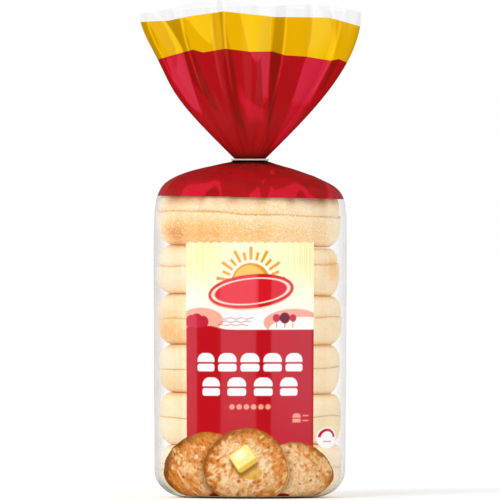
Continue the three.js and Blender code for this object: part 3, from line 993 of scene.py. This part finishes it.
def math_node(tree, operation, first, second, clamp=False):
    made = node(tree, "Math", {"operation": operation, "use_clamp": clamp})
    plug(tree, made.inputs[0], first)
    plug(tree, made.inputs[1], second)
    return made.outputs[0]


def plus(tree, first, second):
    return math_node(tree, "ADD", first, second)


def times(tree, first, second, clamp=False):
    return math_node(tree, "MULTIPLY", first, second, clamp)


def mix_colour(tree, factor, first, second, how="MIX"):
    made = node(tree, "Mix", {"data_type": "RGBA", "blend_type": how})
    plug(tree, made.inputs[0], factor)
    plug(tree, made.inputs[6], first)
    plug(tree, made.inputs[7], second)
    return made.outputs[2]


def mix_shader(tree, factor, first, second):
    made = node(tree, "MixShader")
    for socket, value in zip(made.inputs, (factor, first, second)):
        plug(tree, socket, value)
    return made.outputs[0]


def principled(tree, **sockets):
    return node(tree, "BsdfPrincipled", **sockets).outputs[0]


def surface(tree, shader):
    node(tree, "OutputMaterial", Surface=shader)


def stretched(tree, x, y, z):
    """Object coordinates scaled along each axis."""
    place = node(tree, "TexCoord").outputs["Object"]
    return node(tree, "Mapping", Vector=place, Scale=(x, y, z)).outputs["Vector"]


def cloud(tree, vector, scale, detail=2.0, roughness=0.5):
    made = node(tree, "TexNoise", Vector=vector, Scale=scale, Detail=detail, Roughness=roughness)
    return made.outputs["Fac"]


def ramp(tree, factor, stops):
    """A colour ramp from (place, colour) pairs."""
    made = node(tree, "ValToRGB", Fac=factor)
    points = made.color_ramp.elements
    while len(points) < len(stops):
        points.new(0.5)
    for point, (at, colour) in zip(points, stops):
        point.position = at
        point.color = rgba(colour)
    return made.outputs["Color"]


def film_bump(tree, strength):
    """The faint upright ripples of thin film."""
    upright = cloud(tree, stretched(tree, 1, 1, 0.12), 150, 1)
    broad = cloud(tree, stretched(tree, 1, 1, 0.3), 50, 1)
    both = plus(tree, times(tree, upright, 0.25), broad)
    return node(tree, "Bump", Height=both, Strength=strength, Distance=0.002).outputs["Normal"]


def attribute(tree, name, output="Fac"):
    return node(tree, "Attribute", {"attribute_name": name}).outputs[output]


def clear_film(name, milk, streaky, crease_shaded=False):
    """Clear film: see-through, with a white haze in streaks, painted shade in dark creases and a thin
    gloss.
    """
    made, tree = new_material(name)
    normal = film_bump(tree, 0.05)
    streaks = cloud(tree, stretched(tree, 1, 1, 0.05), 110, 2, 0.6)
    strength = plus(tree, times(tree, streaks, streaky), 1 - streaky / 2)
    amount = times(tree, strength, attribute(tree, "haze"), clamp=True)
    colour = rgba(milk)
    if crease_shaded:
        # Painted shade in the creases at the foot corner.
        colour = mix_colour(tree, attribute(tree, "crease"), colour, rgba("#7C7B7A"))
    see_through = node(tree, "BsdfTransparent").outputs[0]
    milky = principled(tree, Base_Color=colour, Roughness=0.4, Normal=normal)
    body = mix_shader(tree, amount, see_through, milky)
    gloss = node(tree, "BsdfGlossy", Color=(1, 1, 1, 1), Roughness=0.06, Normal=normal).outputs[0]
    rim = node(tree, "Fresnel", IOR=1.42, Normal=normal).outputs[0]
    surface(tree, mix_shader(tree, math_node(tree, "MINIMUM", rim, 0.05), body, gloss))
    return made


def printed_film(name, stops, specular):
    """Opaque printed film, glossy, its ink colour lighter in painted highlights and deeper in painted
    shade.
    """
    made, tree = new_material(name)
    # The ink colour runs from painted shade to painted highlight.
    base = ramp(tree, attribute(tree, "painted_light"), stops)
    crumple = attribute(tree, "crumple")
    rough = plus(tree, times(tree, crumple, 0.4), 0.08)
    gloss = plus(tree, times(tree, crumple, -0.85 * specular), specular)
    normal = film_bump(tree, 0.03)
    skin = principled(tree, Base_Color=base, Roughness=rough, Specular_IOR_Level=gloss, Normal=normal)
    surface(tree, skin)
    return made


def painted_print(name, gloss, tint):
    """Ink on clear film: reads its colour and how much ink there is from the piece."""
    made, tree = new_material(name)
    skin = principled(
        tree,
        Base_Color=attribute(tree, "print_colour", "Color"),
        Roughness=0.1,
        Specular_IOR_Level=gloss,
        Specular_Tint=tint,
        Normal=film_bump(tree, 0.03),
    )
    bare = node(tree, "BsdfTransparent").outputs[0]
    surface(tree, mix_shader(tree, attribute(tree, "ink"), bare, skin))
    return made


def crust():
    """Muffin crust: cream to gold, finely grained, with specks of flour, a golden line along the split
    and painted shade under the printed film.
    """
    made, tree = new_material("muffin_crust")
    place = stretched(tree, 1, 1, 1)
    grain = cloud(tree, place, 1000, 3, 0.7)
    mottle = cloud(tree, place, 130, 4, 0.6)
    flour = cloud(tree, place, 1700, 1)
    shade = plus(tree, attribute(tree, "brown"), times(tree, plus(tree, mottle, -0.5), 0.2))
    shade = plus(tree, shade, times(tree, plus(tree, grain, -0.5), 0.7))
    crack = times(tree, attribute(tree, "split"), times(tree, mottle, 2), clamp=True)
    specks = times(tree, plus(tree, flour, -0.59), 13, clamp=True)
    colour = mix_colour(tree, crack, ramp(tree, shade, CRUST_STOPS), rgba("#F2A23C"))
    colour = mix_colour(tree, times(tree, specks, 0.9), colour, rgba("#FDF3E0"))
    colour = mix_colour(tree, attribute(tree, "shade"), colour, rgba("#CDA06C"), "MULTIPLY")
    relief = plus(tree, times(tree, grain, 0.4), mottle)
    skin = principled(
        tree,
        Base_Color=colour,
        Roughness=0.75,
        Specular_IOR_Level=0.25,
        Subsurface_Weight=0.5,
        Subsurface_Radius=(1.0, 0.55, 0.3),
        Subsurface_Scale=0.004,
        Sheen_Weight=0.1,
        Normal=node(tree, "Bump", Height=relief, Strength=0.35, Distance=0.0012).outputs["Normal"],
    )
    surface(tree, skin)
    return made


def tag_plastic():
    """Smooth pale moulded plastic with faint clouding."""
    made, tree = new_material("tag_plastic")
    haze = cloud(tree, stretched(tree, 1, 1, 1), 300, 2)
    colour = mix_colour(tree, times(tree, haze, 0.4), rgba("#D6CCBE"), rgba("#C2B6A6"))
    normal = node(tree, "Bump", Height=haze, Strength=0.08, Distance=0.0003).outputs["Normal"]
    surface(tree, principled(tree, Base_Color=colour, Roughness=0.35, Normal=normal))
    return made


# The studio

def make_camera():
    data = bpy.data.cameras.new("camera")
    data.sensor_width = SENSOR
    data.lens = SENSOR * CAMERA_DISTANCE / FRAME_HEIGHT
    data.clip_end = 60
    camera = add_object("camera", data)
    camera.location = (0, -CAMERA_DISTANCE, CAMERA_HEIGHT)
    camera.rotation_euler = (math.pi / 2, 0, 0)
    bpy.context.scene.camera = camera


def soft_box(name, azimuth, half_angle, top, radiance):
    """An upright panel of light that only shows in reflections."""
    data = bpy.data.lights.new(name, "AREA")
    data.shape = "RECTANGLE"
    data.size = 2 * BOX_DISTANCE * math.tan(math.radians(half_angle))
    data.size_y = top - BOX_FOOT
    data.energy = radiance * math.pi * data.size * data.size_y
    lamp = add_object(name, data)
    turn, middle = math.radians(azimuth), (BOX_FOOT + top) / 2
    lamp.location = (BOX_DISTANCE * math.sin(turn), -BOX_DISTANCE * math.cos(turn), middle)
    lamp.rotation_euler = (math.pi / 2, 0, turn)
    lamp.visible_diffuse = False


def make_studio():
    """A white world, soft boxes for the gloss and one broad key light."""
    world = bpy.data.worlds.new("white_tent")
    world.use_nodes = True
    world.node_tree.nodes["Background"].inputs["Color"].default_value = (1, 1, 1, 1)
    world.node_tree.nodes["Background"].inputs["Strength"].default_value = 1.0
    world.cycles_visibility.glossy = False
    bpy.context.scene.world = world
    for name, box in SOFT_BOXES.items():
        soft_box(name, *box)
    key = bpy.data.lights.new("key", "SUN")
    key.energy = KEY_LIGHT
    key.angle = math.radians(KEY_ANGLE)
    lamp = add_object("key", key)
    lamp.rotation_euler = [math.radians(tilt) for tilt in KEY_TILT]
    lamp.visible_glossy = False
    bpy.context.scene.view_settings.view_transform = "Standard"


def make_floor():
    made, tree = new_material("studio_floor")
    surface(tree, node(tree, "BsdfDiffuse", Color=(0.9, 0.9, 0.9, 1)).outputs[0])
    edge = FLOOR_SIZE / 2
    rows = [[(x / MM, y / MM, -FLOOR_DROP / MM) for x in (-edge, edge)] for y in (-edge, edge)]
    floor = make_mesh("floor", rows, False, [made])
    floor.visible_glossy = False


def main():
    clear = clear_film("clear_film", "#D3D7DE", 0.3, crease_shaded=True)
    edge_film = clear_film("edge_film", "#D8D8D9", 0.1)
    red = printed_film("red_print", RED_STOPS, 0.13)
    yellow = printed_film("yellow_print", YELLOW_STOPS, 0.15)
    paint = painted_print("front_print", 0.9, (1, 0.52, 0.7, 1))
    picture = painted_print("front_picture", 0.5, (1, 0.8, 0.6, 1))
    pieces = [make_wall(clear), make_crown(red, yellow, edge_film)]
    layers = [
        ("print_panel", (-PANEL_HALF, PANEL_HALF), (PANEL_FOOT, PANEL_TOP), 0.36, panel_art, paint),
        ("print_rounds", (-62, 62), (1.3, 39), 0.28, rounds_art, picture),
        ("print_badge", (37.5, 56.5), (25, 38), 0.2, badge_art, paint),
    ]
    for order, (name, reach, rise, step, art, ink) in enumerate(layers, start=1):
        pieces.append(make_layer(name, reach, rise, step, order * PRINT_LIFT, art, ink))
    for piece in (pieces[0], *pieces[2:]):
        piece.visible_shadow = False
        piece.visible_diffuse = False
    for piece in pieces:
        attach(piece, "root")
        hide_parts("bag")
    bread = crust()
    for index in range(len(MUFFINS)):
        for upper in (True, False):
            half = make_half(index, upper, bread)
            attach(half, "root")
            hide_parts("bag")
    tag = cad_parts["tag"]
    tag.data.materials.clear()
    tag.data.materials.append(tag_plastic())
    make_floor()
    make_camera()
    make_studio()


main()
